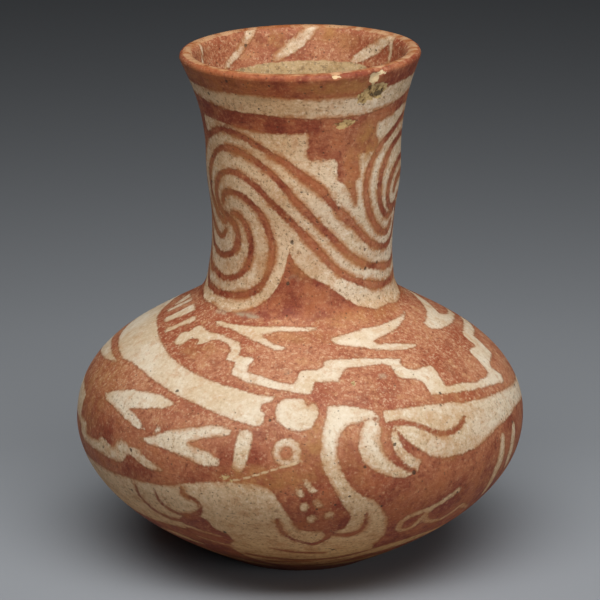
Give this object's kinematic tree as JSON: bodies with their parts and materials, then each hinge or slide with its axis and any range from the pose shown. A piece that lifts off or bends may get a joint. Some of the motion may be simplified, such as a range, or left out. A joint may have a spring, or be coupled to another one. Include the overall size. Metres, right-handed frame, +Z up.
{
  "type": "ceramic bottle",
  "caption": "Hand-built earthenware bottle with a squat round body, a tall flared neck, a thick lip and red and cream slip painting.",
  "frame": {"origin": "middle of the flat base, on the surface that the bottle stands on", "axes": "+Z up the bottle's axis to the mouth, -Y towards the painted front, +X to the front's right"},
  "size_m": [0.209, 0.209, 0.2409],
  "materials": {
    "painted_clay": "matt red and cream slip over fired clay, worn and unglazed"
  },
  "bodies": {
    "root": {"bottle": "painted_clay"}
  },
  "joints": []
}
